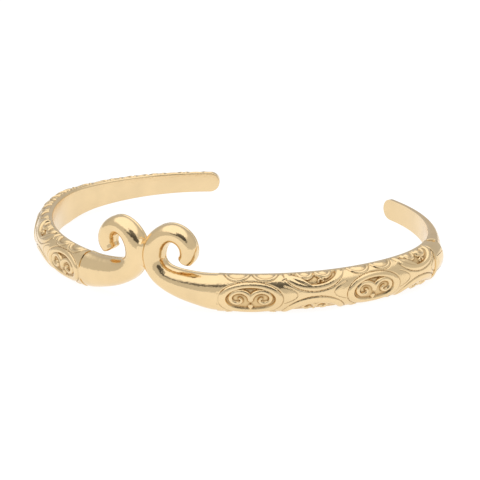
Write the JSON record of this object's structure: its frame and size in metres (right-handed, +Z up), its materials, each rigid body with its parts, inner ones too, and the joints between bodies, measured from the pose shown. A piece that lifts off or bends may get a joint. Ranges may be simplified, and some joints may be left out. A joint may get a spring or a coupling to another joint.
{
  "type": "hinged cuff bracelet",
  "caption": "Gold open cuff bracelet with a carved half-round band, meeting scrolls at the front, a gap at the back and a spring-hinged rear arm.",
  "frame": {"origin": "centre of the bounding box, at the height of the surface it rests on", "axes": "+Z up, +X to the hinge side, -Y to the front where the scrolls meet, +Y to the opening"},
  "size_m": [0.066, 0.0528, 0.0121],
  "materials": {
    "scroll_gold": "mirror-polished yellow gold",
    "shell_gold": "carved relief in yellow gold, polished high parts over satin grounds",
    "liner_gold": "flat polished yellow gold",
    "hinge_gold": "polished yellow gold",
    "pin_gold": "filed and polished yellow gold",
    "arm_gold": "satin yellow gold",
    "spring_steel": "tempered spring steel"
  },
  "bodies": {
    "front_band": {"scroll_left": "scroll_gold", "scroll_right": "scroll_gold", "band_shell_left": "shell_gold", "band_liner_left": "liner_gold", "band_shell_right": "shell_gold", "band_liner_right": "liner_gold", "hinge_fork": "hinge_gold", "hinge_pin": "pin_gold", "hinge_spring": "spring_steel", "spring_rivet": "pin_gold"},
    "rear_arm": {"hinge_tongue": "hinge_gold", "arm_shell": "arm_gold", "arm_liner": "liner_gold"}
  },
  "joints": [
    {"name": "arm_hinge", "type": "hinge", "parent": "front_band", "child": "rear_arm", "pos_m": [0.032, 0.00477, 0.0026], "axis": [0, 0, -1], "range_deg": [0, 35], "stiffness_Nm_per_rad": 0.05, "springref_deg": -8.59, "deforming": ["hinge_spring"]}
  ]
}
